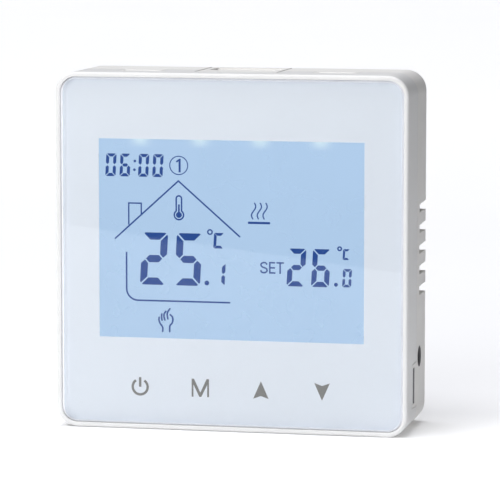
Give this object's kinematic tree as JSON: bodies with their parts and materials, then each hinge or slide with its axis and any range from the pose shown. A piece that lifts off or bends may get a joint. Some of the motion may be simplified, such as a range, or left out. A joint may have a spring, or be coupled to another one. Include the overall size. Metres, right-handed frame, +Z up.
{
  "type": "wall thermostat",
  "caption": "Square room thermostat: a lit display unit with touch keys plugs on to a vented wall base with screw terminals, relay and power board.",
  "frame": {"origin": "centre of the wall base's flat back face, in the wall plane", "axes": "+Z up, +Y into the wall, +X to the right seen from the front; the display faces -Y"},
  "size_m": [0.086, 0.026, 0.086],
  "materials": {
    "cover_plastic": "white ABS, fine satin texture",
    "base_plastic": "white ABS, slightly coarser satin texture",
    "panel_clear": "clear hard-coated acrylic, polished, bevelled edge",
    "mask_print": "cool white ink printed behind the panel, grey key marks",
    "polariser_film": "thin polarising film",
    "lcd_glass": "float glass with clear electrodes",
    "guide_acrylic": "acrylic light guide, lit blue-white",
    "reflector_white": "white reflecting film",
    "led_resin": "side-view lamp, yellow phosphor resin",
    "flex_film": "polyimide flexible strip",
    "holder_plastic": "white moulded tray",
    "tinned_steel": "tin plated",
    "board_green": "green solder mask over glass-fibre laminate",
    "spring_steel": "nickel-plated spring wire",
    "chip_resin": "black moulded epoxy",
    "can_metal": "drawn steel can",
    "black_plastic": "black moulded plastic",
    "chip_ceramic": "ceramic chip parts",
    "sensor_resin": "black epoxy bead",
    "screw_steel": "zinc plated",
    "gilt_brass": "gold-flashed square pins",
    "terminal_plastic": "green polyamide",
    "contact_brass": "plain brass",
    "clamp_steel": "nickel-plated steel cage",
    "relay_plastic": "blue moulded case",
    "coil_copper": "enamelled copper wire",
    "relay_iron": "plated soft iron",
    "contact_silver": "silver alloy",
    "ferrite": "dark sintered ferrite",
    "winding_tape": "yellow polyester tape",
    "capacitor_can": "dark shrink sleeve over an aluminium can",
    "capacitor_box": "yellow filled box",
    "varistor_resin": "blue dipped epoxy",
    "fuse_ceramic": "white ceramic tube",
    "solder": "reflowed solder",
    "filter_foam": "dark open-pored foam"
  },
  "bodies": {
    "wall_unit": {"wall_base": "base_plastic", "power_board": "board_green", "power_board_screws": "screw_steel", "header_strip": "black_plastic", "header_pins": "gilt_brass", "terminal_block": "terminal_plastic", "terminal_bars": "contact_brass", "port_filter": "filter_foam", "relay_case": "relay_plastic", "relay_base": "black_plastic", "relay_coil": "coil_copper", "relay_yoke": "relay_iron", "relay_contacts": "contact_silver", "transformer_core": "ferrite", "transformer_bobbin": "black_plastic", "transformer_winding": "winding_tape", "smoothing_capacitors": "capacitor_can", "safety_capacitor": "capacitor_box", "varistor": "varistor_resin", "fuse_tube": "fuse_ceramic", "fuse_caps": "tinned_steel", "supply_chips": "chip_resin", "solder_joints": "solder"},
    "display_unit": {"front_cover": "cover_plastic", "front_panel": "panel_clear", "panel_mask": "mask_print", "front_polariser": "polariser_film", "lcd_front_glass": "lcd_glass", "lcd_rear_glass": "lcd_glass", "rear_polariser": "polariser_film", "light_guide": "guide_acrylic", "reflector_sheet": "reflector_white", "backlight_leds": "led_resin", "led_strip": "flex_film", "lcd_holder": "holder_plastic", "lcd_pins": "tinned_steel", "control_board": "board_green", "touch_springs": "spring_steel", "microcontroller": "chip_resin", "crystal": "can_metal", "buzzer": "black_plastic", "coin_cell": "can_metal", "coin_cell_holder": "black_plastic", "chip_parts": "chip_ceramic", "room_sensor": "sensor_resin", "header_socket": "black_plastic", "display_screws": "screw_steel"},
    "relay_armature": {"relay_armature": "relay_iron"},
    "terminal_screw_1": {"terminal_screw_1": "screw_steel"},
    "terminal_clamp_1": {"terminal_clamp_1": "clamp_steel"},
    "terminal_screw_2": {"terminal_screw_2": "screw_steel"},
    "terminal_clamp_2": {"terminal_clamp_2": "clamp_steel"},
    "terminal_screw_3": {"terminal_screw_3": "screw_steel"},
    "terminal_clamp_3": {"terminal_clamp_3": "clamp_steel"},
    "terminal_screw_4": {"terminal_screw_4": "screw_steel"},
    "terminal_clamp_4": {"terminal_clamp_4": "clamp_steel"},
    "terminal_screw_5": {"terminal_screw_5": "screw_steel"},
    "terminal_clamp_5": {"terminal_clamp_5": "clamp_steel"},
    "terminal_screw_6": {"terminal_screw_6": "screw_steel"},
    "terminal_clamp_6": {"terminal_clamp_6": "clamp_steel"}
  },
  "joints": [
    {"name": "display_slide", "type": "slide", "parent": "wall_unit", "child": "display_unit", "axis": [0, -1, 0], "range_m": [0, 0.02]},
    {"name": "screw_turn_1", "type": "hinge", "parent": "wall_unit", "child": "terminal_screw_1", "pos_m": [-0.01905, -0.012, 0.0112], "axis": [0, -1, 0], "range_deg": [0, 1440]},
    {"name": "clamp_lift_1", "type": "slide", "parent": "wall_unit", "child": "terminal_clamp_1", "axis": [0, 1, 0], "range_m": [0, 0.002]},
    {"name": "screw_turn_2", "type": "hinge", "parent": "wall_unit", "child": "terminal_screw_2", "pos_m": [-0.01143, -0.012, 0.0112], "axis": [0, -1, 0], "range_deg": [0, 1440]},
    {"name": "clamp_lift_2", "type": "slide", "parent": "wall_unit", "child": "terminal_clamp_2", "axis": [0, 1, 0], "range_m": [0, 0.002]},
    {"name": "screw_turn_3", "type": "hinge", "parent": "wall_unit", "child": "terminal_screw_3", "pos_m": [-0.00381, -0.012, 0.0112], "axis": [0, -1, 0], "range_deg": [0, 1440]},
    {"name": "clamp_lift_3", "type": "slide", "parent": "wall_unit", "child": "terminal_clamp_3", "axis": [0, 1, 0], "range_m": [0, 0.002]},
    {"name": "screw_turn_4", "type": "hinge", "parent": "wall_unit", "child": "terminal_screw_4", "pos_m": [0.00381, -0.012, 0.0112], "axis": [0, -1, 0], "range_deg": [0, 1440]},
    {"name": "clamp_lift_4", "type": "slide", "parent": "wall_unit", "child": "terminal_clamp_4", "axis": [0, 1, 0], "range_m": [0, 0.002]},
    {"name": "screw_turn_5", "type": "hinge", "parent": "wall_unit", "child": "terminal_screw_5", "pos_m": [0.01143, -0.012, 0.0112], "axis": [0, -1, 0], "range_deg": [0, 1440]},
    {"name": "clamp_lift_5", "type": "slide", "parent": "wall_unit", "child": "terminal_clamp_5", "axis": [0, 1, 0], "range_m": [0, 0.002]},
    {"name": "screw_turn_6", "type": "hinge", "parent": "wall_unit", "child": "terminal_screw_6", "pos_m": [0.01905, -0.012, 0.0112], "axis": [0, -1, 0], "range_deg": [0, 1440]},
    {"name": "clamp_lift_6", "type": "slide", "parent": "wall_unit", "child": "terminal_clamp_6", "axis": [0, 1, 0], "range_m": [0, 0.002]},
    {"name": "armature_tilt", "type": "hinge", "parent": "wall_unit", "child": "relay_armature", "pos_m": [-0.0184, -0.0104, 0.0261], "axis": [0, -1, 0], "range_deg": [0, 4], "stiffness_Nm_per_rad": 0.0001, "springref_deg": -17.19}
  ],
  "couplings": [
    {"joint": "screw_turn_1", "follows": "clamp_lift_1", "rad_per_m": 12566},
    {"joint": "screw_turn_2", "follows": "clamp_lift_2", "rad_per_m": 12566},
    {"joint": "screw_turn_3", "follows": "clamp_lift_3", "rad_per_m": 12566},
    {"joint": "screw_turn_4", "follows": "clamp_lift_4", "rad_per_m": 12566},
    {"joint": "screw_turn_5", "follows": "clamp_lift_5", "rad_per_m": 12566},
    {"joint": "screw_turn_6", "follows": "clamp_lift_6", "rad_per_m": 12566}
  ]
}
